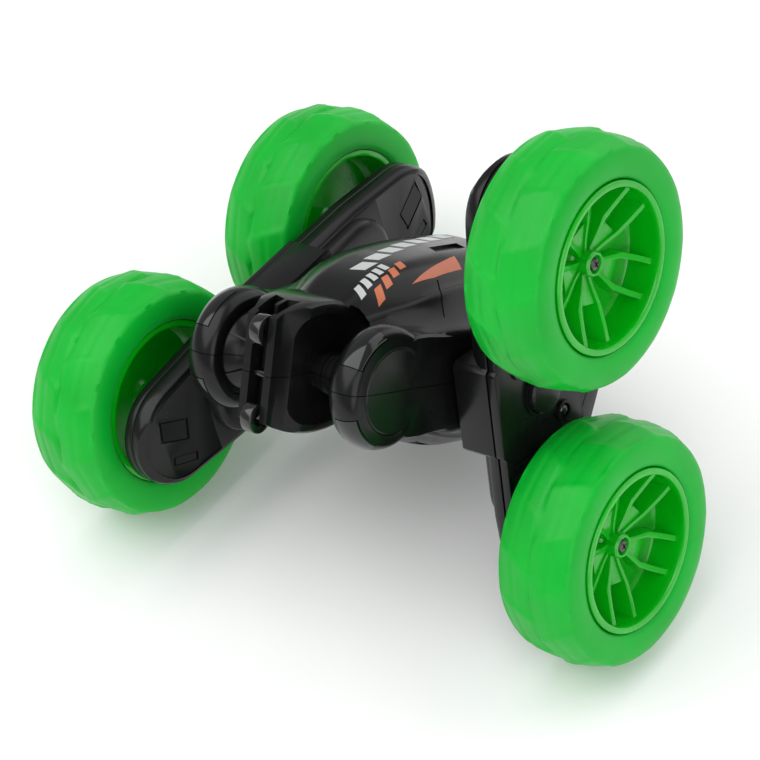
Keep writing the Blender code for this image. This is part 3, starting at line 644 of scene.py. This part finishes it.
def build_inner_cover(name, side):
    """Body-side casing: sloped lip, wall, motor box, plateau, sloped ends with recesses, pivot drum."""
    lip = ((LIP_START, 1.9), (LIP_START + 0.5, 1.0), (LIP_START + 2.4, 0.0), (ARM_SEAM, 0.0))
    cover = lofted(name, side, [(x, arm_outline(inset)) for x, inset in lip])
    join(cover, lofted("bulge", side, [(x, bulge_outline(inset)) for x, inset in lip]))
    wall = ((ARM_INNER, LIP_STEP + 0.6), (ARM_INNER + 0.3, LIP_STEP), (LIP_START + 2.0, LIP_STEP))
    join(cover, lofted("core", side, [(x, arm_outline(inset)) for x, inset in wall]))
    join(cover, lofted("core_bulge", side, [(x, bulge_outline(inset)) for x, inset in wall]))
    edge = ((PLATEAU_FACE, 2.6), (PLATEAU_FACE + 0.7, 0.9), (PLATEAU_FACE + 2.2, 0.1),
            (ARM_INNER + 1.0, 0.0))
    plateau = [(x, soft_box(PLATEAU_HALF - inset, 16.4 - inset, 13.0 - inset)) for x, inset in edge]
    join(cover, lofted("plateau", side, plateau))
    motor_box = box_outline(-MOTOR_BOX_HALF, MOTOR_BOX_HALF, -26.0, MOTOR_BOX_TOP, 1.6)
    join(cover, prism("motor_box", motor_box, MOTOR_BOX_FACE, ARM_SEAM, side))
    for end, _ in ENDS:
        slope = ((30.0, SLOPE_START), (ARM_INNER - 0.1, SLOPE_START), (END_LEVEL, 80.0), (30.0, 80.0))
        cut(cover, plan_prism("slope", [(side * x, end * a) for x, a in slope], -30.0, 30.0))
        sunk = ((30.0, 48.0), (PAN_LEVEL, 48.0), (PAN_LEVEL, SLOPE_START), (END_LEVEL + 0.8, 80.0),
                (30.0, 80.0))
        pan = plan_prism("pan", [(side * x, end * a) for x, a in sunk], -30.0, 30.0)
        keep(pan, prism("pan_edge", arm_outline(LIP_STEP + 0.4), 30.0, 55.0, side))
        cut(cover, pan)
    round_edges(cover, 0.55, 3)
    for end, _ in ENDS:
        vent = ((68.4, 10.0), (56.8, 3.4), (58.8, -4.0), (70.0, 2.6))
        slot = ((68.4, -8.0), (58.2, -13.0), (57.2, -10.2), (67.4, -5.2))
        for outline in (vent, slot):
            middle = (sum(a for a, _ in outline) / 4, sum(b for _, b in outline) / 4)
            level = PAN_LEVEL + 0.2
            outer = [(end * a, b) for a, b in outline]
            inner = [(end * mix(a, middle[0], 0.16), mix(b, middle[1], 0.16)) for a, b in outline]
            cut(cover, prism("recess", outer, ARM_INNER - 5.0, level + 0.3, side))
            join(cover, prism("recess_floor", inner, level - 0.1, level + 0.6, side))
    drum = ((DRUM_END, DRUM_RADIUS), (ARM_INNER, DRUM_RADIUS))
    join(cover, lathe("drum", drum, side=side))
    start, end, radius = DRUM_FLANGE
    join(cover, lathe("flange", ((start, radius), (end, radius)), side=side))
    collar = ((36.4, 14.6), (36.9, 15.2), (38.9, 15.2))
    join(cover, lathe("collar", collar, side=side, segments=80))
    inset = COVER_WALL + LIP_STEP
    hollow = prism("hollow", arm_outline(inset), PAN_LEVEL + 0.9, ARM_SEAM + 1.0, side)
    keep(hollow, block("hollow_length", (-60.0, -64.5, -30.0), (60.0, 64.5, 30.0)))
    cut(cover, hollow)
    cut(cover, prism("bulge_hollow", bulge_outline(inset), ARM_INNER + WALL, ARM_SEAM + 1.0, side))
    cut(cover, lathe("drum_hollow", ((DRUM_END - 1.0, DRUM_BORE), (ARM_SEAM, DRUM_BORE)), side=side))
    return cover


def build_outer_cover(name, side):
    """Wheel-side casing: pivot cap in a ring, ribs, screw wells, wheel collars."""
    start = ARM_SEAM + GAP
    cap_radius, cap_face = PIVOT_CAP
    screw_a, screw_b = COVER_SCREW_PLACE
    cover = prism(name, arm_outline(), start, ARM_OUTER, side)
    join(cover, prism("bulge", bulge_outline(), start, ARM_OUTER, side))
    box_top = box_outline(-MOTOR_BOX_HALF, MOTOR_BOX_HALF, 10.0, MOTOR_BOX_TOP, 1.6)
    join(cover, prism("box_top", box_top, start, ARM_OUTER, side))
    round_edges(cover, 0.6, 3)
    ring = ((ARM_OUTER - 0.5, cap_radius + 1.0), (ARM_OUTER + 0.7, cap_radius + 1.0),
            (ARM_OUTER + 0.7, cap_radius + 0.2), (ARM_OUTER + 0.2, cap_radius),
            (cap_face - 1.0, cap_radius - 0.2), (cap_face - 0.3, cap_radius - 0.9),
            (cap_face, cap_radius - 2.4))
    join(cover, lathe("cap", ring, side=side, segments=72))
    for end, _ in ENDS:
        for a, b, long_a, long_b in ((20.0, 9.0, 0.8, 7.5), (23.6, 2.3, 4.4, 0.8), (27.0, -9.0, 3.0, 0.6)):
            rib = box_outline(end * a - long_a, end * a + long_a, b - long_b, b + long_b, 0.3)
            join(cover, prism("rib", rib, ARM_OUTER - 0.4, ARM_OUTER + 0.8, side))
        foot = ARM_OUTER - 0.4
        collar = ((foot, 6.2), (ARM_OUTER + 1.2, 6.0), (ARM_OUTER + 1.2, 3.4), (foot, 3.4))
        join(cover, lathe("collar", collar, (end * AXLE_A, 0.0), side, 40, True))
        well = ((foot, 3.7), (ARM_OUTER + 0.9, 3.5), (ARM_OUTER + 0.9, 2.5), (foot, 2.4))
        place = (end * screw_a, end * screw_b)
        join(cover, lathe("well", well, place, side, 32, True))
        floor = ((SCREW_FLOOR, 2.4), (ARM_OUTER + 1.0, 2.4))
        cut(cover, lathe("well_floor", floor, place, side, 32))
        panel = [(end * a, b) for a, b in ((6.0, -26.2), (6.6, -26.2), (16.0, -19.0), (15.4, -19.0))]
        cut(cover, prism("panel", panel, ARM_OUTER - 0.5, ARM_OUTER + 1.0, side))
    hollow_end = ARM_OUTER - WALL
    cut(cover, prism("hollow", arm_outline(WALL), start - 1.0, hollow_end, side))
    cut(cover, prism("bulge_hollow", bulge_outline(WALL), start - 1.0, hollow_end, side))
    through = ((start - 1.0, AXLE_HOLE), (ARM_OUTER + 3.0, AXLE_HOLE))
    for end, _ in ENDS:
        cut(cover, lathe("axle_hole", through, (end * AXLE_A, 0.0), side, 24))
    return cover


def build_cover_screw(name, side, a, b):
    """Smaller pan head with a cross recess, in its well."""
    base = SCREW_FLOOR + GAP
    dome = ((base, 1.7), (base + 0.5, 1.8), (base + 0.9, 1.5), (base + 1.1, 0.9))
    head = lathe(name, dome, (a, b), side, 32)
    for turn in (0.7, 0.7 + pi / 2):
        out_a, out_b = 1.2 * cos(turn), 1.2 * sin(turn)
        slot = rib_outline((a - out_a, b - out_b), (a + out_a, b + out_b), 0.3)
        cut(head, prism("slot", slot, base + 0.45, base + 2.0, side))
    return head


def build_arms():
    for side, label in SIDES:
        matrix = ARM_FRAMES[label]
        body = f"{label}_arm"
        publish(build_inner_cover("inner", side), f"{label}_arm_body_side", matrix, PAINT["casing"],
                body, (f"{label}_arm_inner_cover",))
        publish(build_outer_cover("outer", side), f"{label}_arm_wheel_side", matrix, PAINT["casing"],
                body, (f"{label}_arm_outer_cover",))
        screw_a, screw_b = COVER_SCREW_PLACE
        for number, end in enumerate((-1, 1), start=1):
            publish(build_cover_screw("screw", side, end * screw_a, end * screw_b),
                    f"{label}_arm_cross_screw_{number}", matrix, PAINT["screw"], body,
                    (f"{label}_cover_screw_{number}",))


# ---------------------------------------------------------------- body

def hull_station(y):
    """Station at any Y, on a smooth curve through the named ones."""
    rows = HULL_STATIONS
    index = max(0, min(len(rows) - 2, sum(1 for row in rows if row[0] <= y) - 1))
    here, there = rows[index], rows[index + 1]
    before = rows[max(0, index - 1)]
    beyond = rows[min(len(rows) - 1, index + 2)]
    share = (y - here[0]) / (there[0] - here[0])
    span = there[0] - here[0]
    result = [y]
    for column in range(1, len(here)):
        out = (there[column] - before[column]) / max(there[0] - before[0], 1e-6) * span
        into = (beyond[column] - here[column]) / max(beyond[0] - here[0], 1e-6) * span
        rise = there[column] - here[column]
        if abs(rise) < 1e-6:
            out = into = 0.0
        value = (2 * share ** 3 - 3 * share ** 2 + 1) * here[column]
        value += (share ** 3 - 2 * share ** 2 + share) * out
        value += (-2 * share ** 3 + 3 * share ** 2) * there[column] + (share ** 3 - share ** 2) * into
        result.append(value)
    return result


def arc_between(start, corner, end, steps):
    """Points of a soft corner from start to end, pulled towards the corner."""
    points = []
    for step in range(steps + 1):
        share = step / steps
        points.append(tuple(mix(mix(start[i], corner[i], share), mix(corner[i], end[i], share), share)
                            for i in (0, 1)))
    return points


def half_section(half, shoulder, ridge_x, ridge_z, crest, inset):
    """Right half of the section above the seam: flat side, shoulder, ridge, crowned top."""
    half -= inset
    ridge_x -= inset * 0.8
    ridge_z -= inset * 0.8
    crest -= inset
    shoulder -= inset * 0.4
    flat = CREST_HALF * min(1.0, crest / 30.0)
    side = [(half, 0.0), (half, shoulder * 0.5), (half, shoulder - 1.2)]
    turn = arc_between((half, shoulder - 1.2), (half, shoulder + 1.2), (half - 2.6, shoulder + 2.4), 4)[1:]
    flank = [(mix(half - 2.6, ridge_x, share), mix(shoulder + 2.4, ridge_z, share) - 0.9 * sin(pi * share))
             for share in (0.25, 0.5, 0.75)]
    ridge_end = (ridge_x - 1.6, ridge_z + 0.6)
    ridge = arc_between((ridge_x + 0.9, ridge_z - 1.0), (ridge_x, ridge_z + 0.5), ridge_end, 4)
    crown = []
    for step in range(1, 8):
        share = step / 8
        x = mix(ridge_end[0], flat, share)
        crown.append((x, mix(ridge_end[1], crest, 1 - (1 - share) ** 1.9)))
    return side + turn + flank + ridge + crown + [(flat, crest), (flat * 0.5, crest)]


def hull_section(y, inset=0.0):
    _, half, shoulder, ridge_x, ridge_z, crest, belly = hull_station(y)
    scale = belly / crest
    upper = half_section(half, shoulder, ridge_x, ridge_z, crest, inset)
    lower = half_section(half, min(shoulder, ridge_z * scale - 3.6), ridge_x, ridge_z * scale, belly, inset)
    top = upper + [(-x, z) for x, z in reversed(upper)]
    bottom = [(-x, -z) for x, z in lower[1:]] + [(x, -z) for x, z in reversed(lower[1:])]
    return [(x, y, z) for x, z in top + bottom]


def build_hull(name, inset=0.0, steps=44):
    first = HULL_STATIONS[0][0] + inset
    last = HULL_STATIONS[-1][0] - inset
    return loft(name, [hull_section(mix(first, last, step / steps), inset) for step in range(steps + 1)])


def arch_height(y, radius):
    reach = radius * radius - (y - HOOD_CENTRE[0]) ** 2
    return HOOD_CENTRE[1] + reach ** 0.5


def arch_points(radius, first, last, steps=24):
    return [(mix(first, last, step / steps), arch_height(mix(first, last, step / steps), radius))
            for step in range(steps + 1)]


def both_ways(points):
    """Close an outline of the top half with its shallower twin below the seam."""
    return points + [(y, -z * LOWER_SHARE) for y, z in reversed(points)]


def build_hood(name):
    """Nose block between the pods: its top follows the arch, its front narrows to the bars."""
    sections = []
    edge = ((HOOD_HALF, 2.6), (HOOD_HALF - 0.5, 1.2), (HOOD_HALF - 1.5, 0.3), (HOOD_HALF - 2.8, 0.0))
    for x, drop in edge:
        outline = both_ways(arch_points(HOOD_RADIUS - drop, NOSE_FRONT, -30.0))
        sections.append([(x, y, z) for y, z in outline])
    hood = loft(name, sections + [[(-x, y, z) for x, y, z in section] for section in reversed(sections)])
    plan = [(NOSE_WEB_HALF, NOSE_FRONT - 1.0), (NOSE_WEB_HALF, NOSE_FRONT + 3.0), (HOOD_HALF - 0.6, -61.0),
            (HOOD_HALF, -55.0), (HOOD_HALF, -29.0)]
    keep(hood, plan_prism("plan", plan + [(-x, y) for x, y in reversed(plan)], -40.0, 40.0))
    return hood


def build_bowl_recess(side):
    """Smooth dish in the nose's side, from the hood's edge in to the pod's neck."""
    edge = both_ways(arch_points(HOOD_RADIUS - HOOD_THICKNESS, -69.2, -31.0))
    sections = []
    slope = ((15.0, 0.0), (10.0, 0.0), (9.0, 0.05), (8.1, 0.16), (7.2, 0.36), (6.6, 0.62), (6.3, 0.95))
    for x, share in slope:
        ring = []
        for y, z in edge:
            reach = hypot(y - POD_Y, z)
            shrunk = mix(reach, POD_NECK, share) / reach
            ring.append((side * x, POD_Y + (y - POD_Y) * shrunk, z * shrunk))
        sections.append(ring)
    return loft("recess", sections)


def bowl_cutter(side, grown=0.0):
    """Ring-shaped space between the nose and a pod, closing in towards the pod's back."""
    rim = [(HOOD_HALF - 0.1, 21.8), (12.4, 21.4), (16.0, 19.0), (20.0, 15.8), (24.6, 13.8)]
    edge = [(HOOD_HALF - 0.1 - grown, 21.8 + grown)] + [(x + grown, radius + grown) for x, radius in rim]
    profile = [(edge[0][0], 4.0)] + edge + [(edge[-1][0], 4.0)]
    return lathe("bowl", profile, (POD_Y, 0.0), side, POD_SEGMENTS, True)


def pod_profile():
    """(x, radius) of one pod: neck, ribbed cone, groove, wide rounded rim and side disc."""
    neck = [(5.0, 5.6), (8.6, 5.6), (8.9, 6.6), (10.4, 6.6), (10.7, 5.9), (13.0, 6.1), (13.2, 7.0),
            (14.6, 7.0), (14.9, 6.6), (17.0, 7.6), (20.0, 10.0), (22.6, 12.6), (24.2, 13.2),
            (24.3, 14.3), (23.3, 14.8)]
    middle, half, radius, bulge = POD_RIM
    rim = []
    for step in range(13):
        turn = radians(190.0 - 190.0 * step / 12)
        rim.append((middle + half * cos(turn), radius + bulge * sin(turn)))
    face = [(34.7, 14.6), (35.0, 13.9), (34.75, 13.6), (34.75, 13.3), (35.0, 13.0), (35.2, 8.0),
            (35.25, 3.0)]
    return neck + rim + face


def build_pod(side):
    """Wheel-shaped side pod with six fins on its cone."""
    pod = lathe("pod", pod_profile(), (POD_Y, 0.0), side, POD_SEGMENTS)
    cone = ((15.0, 7.3), (17.0, 8.4), (22.6, 13.2), (24.1, 13.7))
    for index in range(6):
        turn = radians(30.0 + 60.0 * index)
        fin = [(6.0, -0.35), (13.6, -0.35), (13.6, 0.35), (6.0, 0.35)]
        outline = [(y + POD_Y, z) for y, z in rotate_outline(fin, turn)]
        wedge = prism("fin", outline, 15.0, 24.0, side)
        keep(wedge, lathe("cone", cone, (POD_Y, 0.0), side, 48))
        join(pod, wedge)
    return pod


def build_fairing(side):
    """Flared panel from the pod back to the arm pivot, with creased upper and lower edges."""
    sections = []
    rows = (                    # Y, half-height, inner X, outer X
        (-50.0, 12.6, 26.0, 34.2), (-44.0, 14.6, 25.5, 34.6), (-39.0, 16.2, 25.0, 35.1),
        (-34.0, 16.3, 24.5, 35.4), (-26.0, 15.6, 24.0, 35.45), (-16.0, 15.3, 24.0, 35.45),
        (-6.0, 15.4, 24.0, 35.45),
    )
    for y, height, inner, outer in rows:
        sections.append([(side * x, y, z) for x, z in (
            (inner, -height), (outer - 1.8, -height), (outer - 0.5, -height + 0.7), (outer, -height + 2.2),
            (outer, height - 2.2), (outer - 0.5, height - 0.7), (outer - 1.8, height), (inner, height))])
    return loft("fairing", sections)


def nose_pocket(sign_x, sign_z):
    """Triangular pocket in front of the hood, beside the middle rib."""
    plan = [(sign_x * 0.7, -70.6), (sign_x * 0.7, -61.6), (sign_x * 5.2, -60.4), (sign_x * 4.0, -70.0)]
    low, high = (15.5, 30.0) if sign_z > 0 else (-30.0, -15.5 * LOWER_SHARE)
    return plan_prism("pocket", plan, low, high)


def build_outer_body():
    body = build_hull("body")
    join(body, build_hood("hood"))
    for side, _ in SIDES:
        join(body, build_fairing(side))
    for side, _ in SIDES:
        cut(body, bowl_cutter(side))
        cut(body, build_bowl_recess(side))
    for sign_x in (1, -1):
        for sign_z in (1, -1):
            cut(body, nose_pocket(sign_x, sign_z))
    cut(body, block("slot", (-SLOT_HALF, -80.0, -30.0), (SLOT_HALF, SLOT_BACK - 3.0, 30.0)))
    cut(body, block("slot_back", (-SLOT_HALF, -80.0, -15.5), (SLOT_HALF, SLOT_BACK, 15.5)))
    round_edges(body, 0.45, 2, 44.0)
    cut(body, plan_prism("window", ((3.6, 1.0), (2.2, 17.0), (8.4, 14.0), (9.4, -2.0)), 33.8, 40.0))
    hood_slot = ((-3.2, -48.0), (-0.2, -47.2), (-0.2, -44.2), (-3.2, -45.0))
    cut(body, plan_prism("hood_slot", hood_slot, 21.7, 30.0))
    for side, _ in SIDES:
        line = [(side * x, y) for x, y in ((20.2, -14.6), (20.5, -14.1), (29.5, -20.2), (29.2, -20.7))]
        groove = plan_prism("panel_line", line, 14.0, 40.0)
        cut(groove, build_hull("under_line", 0.35))
        cut(body, groove)
    for side, _ in SIDES:
        join(body, build_pod(side))
    return body


def lamp_section(side, upper, start, end, low, high, lift, floor):
    """Curved slab over a pod's rim, between two angles above its front."""
    middle, half, rim_radius, rim_bulge = POD_RIM
    sections = []
    steps = 16
    for step in range(steps + 1):
        turn = radians(180.0 - mix(start, end, step / steps))
        ring = []
        outside = []
        for index in range(9):
            x = mix(low, high, index / 8)
            surface = rim_radius + rim_bulge * (max(0.0, 1 - ((x - middle) / half) ** 2)) ** 0.5
            outside.append((x, surface + lift))
        for x, radius in outside + [(x, floor) for x, _ in reversed(outside)]:
            rise = sin(turn) * radius
            ring.append((side * x, POD_Y + radius * cos(turn), rise if upper else -rise))
        sections.append(ring)
    return sections


def build_lamp_window(name, side, upper):
    return loft(name, lamp_section(side, upper, 26.0, 72.0, 27.2, 33.9, 0.12, 14.8))


def build_shells():
    body = build_outer_body()
    half, start, end = BATTERY_DOOR
    door = keep(copy_of(body, "door"), block("door_cut", (-half, start, -40.0), (half, end, -20.0)))
    cut(door, build_hull("door_hollow", SHELL_WALL))
    for x in range(-2, 3):
        cut(door, block("grip", (x * 2.4 - 0.5, end - 6.0, -32.0), (x * 2.4 + 0.5, end - 2.5, -27.6)))
    for side, _ in SIDES:
        cut(body, lathe("bearing_bore", ((15.0, DRUM_RADIUS + GAP), (45.0, DRUM_RADIUS + GAP)), side=side))
        for upper in (True, False):
            cut(body, loft("pocket", lamp_section(side, upper, 25.2, 72.8, 26.9, 34.2, 3.0, 14.4)))
    cavity = build_hull("cavity", SHELL_WALL)
    for side, _ in SIDES:
        cut(cavity, lathe("bearing", ((BEARING_INNER, BEARING_RADIUS), (40.0, BEARING_RADIUS)), side=side))
    cut(cavity, block("nose_wall", (-60.0, -80.0, -60.0), (60.0, NOSE_WALL, 60.0)))
    for side, _ in SIDES:
        cut(cavity, bowl_cutter(side, SHELL_WALL))
    for side, _ in SIDES:
        join(cavity, lathe("lamp_room", ((25.4, 10.0), (33.4, 10.0)), (POD_Y, 0.0), side, 32))
    cut(body, cavity)
    upper = keep(copy_of(body, "upper"), block("above", (-60.0, -90.0, GAP / 3), (60.0, 90.0, 60.0)))
    lower = keep(body, block("below", (-60.0, -90.0, -60.0), (60.0, 90.0, -GAP / 3)))
    edge = GAP
    cut(lower, block("door_hole", (-half - edge, start - edge, -40.0), (half + edge, end + edge, -20.0)))
    x, y = SWITCH_PLACE
    half_x, half_y = SWITCH_HOLE
    cut(lower, block("switch_hole", (x - half_x, y - half_y, -45.0), (x + half_x, y + half_y, -10.0)))
    return upper, lower, door


def hook_outline(upper, steps=26):
    """Side view of a nose hook that curls forwards."""
    centre_y, centre_z = HOOK_CENTRE
    points = []
    for radius, first, last in ((5.0, 35.0, 250.0), (2.3, 250.0, 35.0)):
        for step in range(steps + 1):
            turn = radians(mix(first, last, step / steps))
            points.append((centre_y + radius * cos(turn), centre_z + radius * sin(turn)))
    return [(y, z if upper else -z) for y, z in points]


def build_nose_bracket(name):
    half = SLOT_HALF - GAP
    strip = [(-67.4, -15.1), (-64.0, -15.1), (-64.0, 15.1), (-67.4, 15.1)]
    bracket = prism(name, strip, -half, half)
    for upper in (True, False):
        join(bracket, prism("hook", hook_outline(upper), -half * 0.8, half * 0.8))
    join(bracket, block("web", (-half, -70.5, -0.9), (half, -66.0, 0.9)))
    return round_edges(bracket, 0.5, 3)


# ---------------------------------------------------------------- printed marks

def printed_patch(name, surface, corners, rows=10, columns=4, top=True):
    """Thin printed patch between four (x, y) corners, laid on the shell."""
    direction = Vector((0.0, 0.0, -1.0 if top else 1.0))
    start = 60.0 if top else -60.0
    lifts = {}
    for row in range(rows + 1):
        for column in range(columns + 1):
            u, v = row / rows, column / columns
            x = mix(mix(corners[0][0], corners[1][0], u), mix(corners[3][0], corners[2][0], u), v)
            y = mix(mix(corners[0][1], corners[1][1], u), mix(corners[3][1], corners[2][1], u), v)
            hit = surface.ray_cast(Vector((x, y, start)), direction)[0]
            if hit is None:
                return None
            lifts[row, column] = hit
    bm = bmesh.new()
    layers = []
    for height in (0.07, -0.12):
        layers.append({key: bm.verts.new(hit - direction * height) for key, hit in lifts.items()})
    for row in range(rows):
        for column in range(columns):
            for layer in layers:
                bm.faces.new((layer[row, column], layer[row + 1, column], layer[row + 1, column + 1],
                              layer[row, column + 1]))
    over, under = layers
    border = [(row, 0) for row in range(rows)] + [(rows, column) for column in range(columns)]
    border += [(row, columns) for row in range(rows, 0, -1)]
    border += [(0, column) for column in range(columns, 0, -1)]
    for index, key in enumerate(border):
        after = border[(index + 1) % len(border)]
        bm.faces.new((over[key], over[after], under[after], under[key]))
    return raw_object(name, bm)


def mark_corners(x, y, length, width, slant=0.0):
    return ((x, y), (x, y + length), (x + width, y + length + slant), (x + width, y + slant))


def build_marks(upper):
    """Plain white bars along the crest, shorter bars further forward and one orange wedge."""
    surface = BVHTree.FromObject(upper, bpy.context.evaluated_depsgraph_get())
    marks = []
    for index in range(7):
        y = -31.0 + index * 8.0
        x = mix(-1.6, -9.6, index / 6)
        marks.append(("white", mark_corners(x, y, 6.0, 4.8, 1.8)))
    for index in range(5):
        x = mix(7.4, 4.6, index / 4)
        marks.append(("white", mark_corners(x, -39.0 + index * 3.4, 2.1, 4.2, -0.8)))
    for index in range(4):
        x = mix(12.2, 8.0, index / 3)
        marks.append(("orange", mark_corners(x, -35.0 + index * 4.6, 2.8, 3.8, -1.4)))
    marks.append(("orange", ((17.8, -23.5), (13.4, 2.0), (19.2, -1.0), (19.4, -15.0))))
    for number, (colour, corners) in enumerate(marks, start=1):
        patch = printed_patch("mark", surface, corners)
        if patch:
            publish(patch, f"{colour}_mark_{number}", BODY_FRAME, PAINT[colour], "body")


def build_body():
    upper, lower, door = build_shells()
    build_marks(upper)
    for shell, name, node in ((upper, "top_shell", "upper_shell"), (lower, "bottom_shell", "lower_shell"),
                              (door, "ribbed_battery_door", "battery_door")):
        publish(shell, name, BODY_FRAME, PAINT["casing"], "body", (node,), SHELL_SHARP)
    publish(build_nose_bracket("bracket"), "hooked_bracket", BODY_FRAME, PAINT["trim"], "body",
            ("nose_bracket",))
    for side, label in SIDES:
        for is_upper, level in ((True, "upper"), (False, "lower")):
            window = build_lamp_window("window", side, is_upper)
            publish(window, f"{label}_{level}_lamp_lens", BODY_FRAME, PAINT["window"], "body",
                    (f"{label}_{level}_lamp_window",))
    for node, colour in (("battery_door_screw", "screw"), ("power_switch", "trim")):
        paint(frame["nodes"][node], PAINT[colour])


# ---------------------------------------------------------------- studio

def build_floor():
    bm = bmesh.new()
    half = 3.0
    corners = ((-half, -half), (half, -half), (half, half), (-half, half))
    bm.faces.new([bm.verts.new((x, y, 0.0)) for x, y in corners])
    floor = raw_object("floor", bm)
    mat, nodes, links, shader = new_material("pale_floor", (0.9, 0.9, 0.9), 0.7)
    links.new(blend_colours(nodes, links, noise(nodes, links, 3.0), (0.88, 0.88, 0.88), (0.92, 0.92, 0.92)),
              shader.inputs["Base Color"])
    floor.data.materials.append(mat)


def add_light(name, place, energy, size):
    light = bpy.data.lights.new(name, "AREA")
    light.energy = energy
    light.size = size
    obj = bpy.data.objects.new(name, light)
    bpy.context.scene.collection.objects.link(obj)
    obj.location = place
    obj.rotation_euler = (Vector((0.0, 0.0, 0.06)) - Vector(place)).to_track_quat("-Z", "Y").to_euler()


def build_studio():
    build_floor()
    world = bpy.data.worlds.new("studio")
    world.use_nodes = True
    background = world.node_tree.nodes["Background"]
    background.inputs["Color"].default_value = (1.0, 1.0, 1.0, 1.0)
    background.inputs["Strength"].default_value = 0.40
    bpy.context.scene.world = world
    bpy.context.scene.view_settings.view_transform = "Standard"
    add_light("key", (-0.5, -0.5, 1.2), 18.0, 1.6)
    add_light("fill", (0.9, -0.6, 0.7), 6.5, 1.1)
    add_light("back", (0.2, 1.0, 0.8), 8.0, 1.6)


def build_camera():
    camera = bpy.data.cameras.new("camera")
    camera.sensor_width = 36.0
    camera.lens = 150.63
    camera.clip_end = 20.0
    obj = bpy.data.objects.new("camera", camera)
    bpy.context.scene.collection.objects.link(obj)
    obj.rotation_mode = "QUATERNION"
    obj.rotation_quaternion = Quaternion((0.886015, 0.340241, 0.106604, 0.296392))
    obj.location = (0.38782, -0.56016, 0.8165)
    bpy.context.scene.camera = obj


def main():
    build_camera()
    build_studio()
    paint_kept_nodes()
    build_wheels()
    build_arms()
    build_body()


main()
